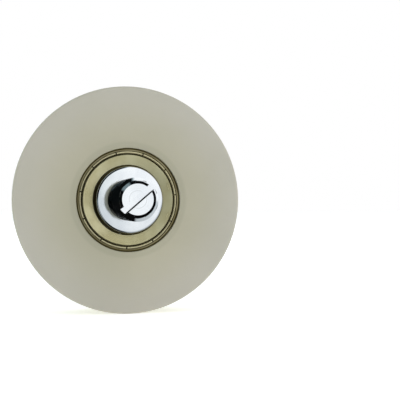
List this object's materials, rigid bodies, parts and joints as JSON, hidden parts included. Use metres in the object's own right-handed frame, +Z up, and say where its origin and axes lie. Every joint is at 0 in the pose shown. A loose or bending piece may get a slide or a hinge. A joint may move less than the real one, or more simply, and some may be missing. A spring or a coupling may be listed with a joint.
{
  "type": "elevator door roller",
  "caption": "Grooved polyamide door roller on a shielded ball bearing, with a slotted threaded stud and clamping collar for fixing it to an elevator door hanger.",
  "frame": {"origin": "centre of the collar's clamping face, on the spin axis, where the roller seats on the door hanger", "axes": "-Y along the threaded stud, away from the tyre; +Y along the spin axis into the tyre; +Z up"},
  "size_m": [0.07, 0.0383, 0.07],
  "materials": {
    "polyamide": "satin, natural",
    "bearing_steel": "ground, oiled",
    "ball_steel": "polished",
    "cage_steel": "pressed",
    "shield_steel": "pressed, satin",
    "stud_steel": "turned, zinc plated",
    "spring_steel": "phosphated"
  },
  "bodies": {
    "stud": {"stud_axle": "stud_steel", "bearing_inner_ring": "bearing_steel", "retaining_ring": "spring_steel"},
    "roller": {"roller_tyre": "polyamide", "bearing_outer_ring": "bearing_steel", "front_shield": "shield_steel", "rear_shield": "shield_steel"},
    "cage": {"cage_front_half": "cage_steel", "cage_rear_half": "cage_steel", "cage_rivets": "cage_steel"},
    "ball_1": {"ball_1": "ball_steel"},
    "ball_2": {"ball_2": "ball_steel"},
    "ball_3": {"ball_3": "ball_steel"},
    "ball_4": {"ball_4": "ball_steel"},
    "ball_5": {"ball_5": "ball_steel"},
    "ball_6": {"ball_6": "ball_steel"},
    "ball_7": {"ball_7": "ball_steel"},
    "ball_8": {"ball_8": "ball_steel"}
  },
  "joints": [
    {"name": "roller_spin", "type": "hinge", "parent": "stud", "child": "roller", "pos_m": [0, 0.01185, 0], "axis": [0, 1, 0], "continuous": true},
    {"name": "cage_orbit", "type": "hinge", "parent": "stud", "child": "cage", "pos_m": [0, 0.0089, 0], "axis": [0, 1, 0], "continuous": true},
    {"name": "ball_1_spin", "type": "hinge", "parent": "cage", "child": "ball_1", "pos_m": [0.01155, 0.0089, 0.00478], "axis": [0, 1, 0], "continuous": true},
    {"name": "ball_2_spin", "type": "hinge", "parent": "cage", "child": "ball_2", "pos_m": [0.00478, 0.0089, 0.01155], "axis": [0, 1, 0], "continuous": true},
    {"name": "ball_3_spin", "type": "hinge", "parent": "cage", "child": "ball_3", "pos_m": [-0.00478, 0.0089, 0.01155], "axis": [0, 1, 0], "continuous": true},
    {"name": "ball_4_spin", "type": "hinge", "parent": "cage", "child": "ball_4", "pos_m": [-0.01155, 0.0089, 0.00478], "axis": [0, 1, 0], "continuous": true},
    {"name": "ball_5_spin", "type": "hinge", "parent": "cage", "child": "ball_5", "pos_m": [-0.01155, 0.0089, -0.00478], "axis": [0, 1, 0], "continuous": true},
    {"name": "ball_6_spin", "type": "hinge", "parent": "cage", "child": "ball_6", "pos_m": [-0.00478, 0.0089, -0.01155], "axis": [0, 1, 0], "continuous": true},
    {"name": "ball_7_spin", "type": "hinge", "parent": "cage", "child": "ball_7", "pos_m": [0.00478, 0.0089, -0.01155], "axis": [0, 1, 0], "continuous": true},
    {"name": "ball_8_spin", "type": "hinge", "parent": "cage", "child": "ball_8", "pos_m": [0.01155, 0.0089, -0.00478], "axis": [0, 1, 0], "continuous": true}
  ],
  "couplings": [
    {"joint": "cage_orbit", "follows": "roller_spin", "ratio": 0.61906},
    {"joint": "ball_1_spin", "follows": "roller_spin", "ratio": 1.9807},
    {"joint": "ball_2_spin", "follows": "roller_spin", "ratio": 1.9807},
    {"joint": "ball_3_spin", "follows": "roller_spin", "ratio": 1.9807},
    {"joint": "ball_4_spin", "follows": "roller_spin", "ratio": 1.9807},
    {"joint": "ball_5_spin", "follows": "roller_spin", "ratio": 1.9807},
    {"joint": "ball_6_spin", "follows": "roller_spin", "ratio": 1.9807},
    {"joint": "ball_7_spin", "follows": "roller_spin", "ratio": 1.9807},
    {"joint": "ball_8_spin", "follows": "roller_spin", "ratio": 1.9807}
  ]
}
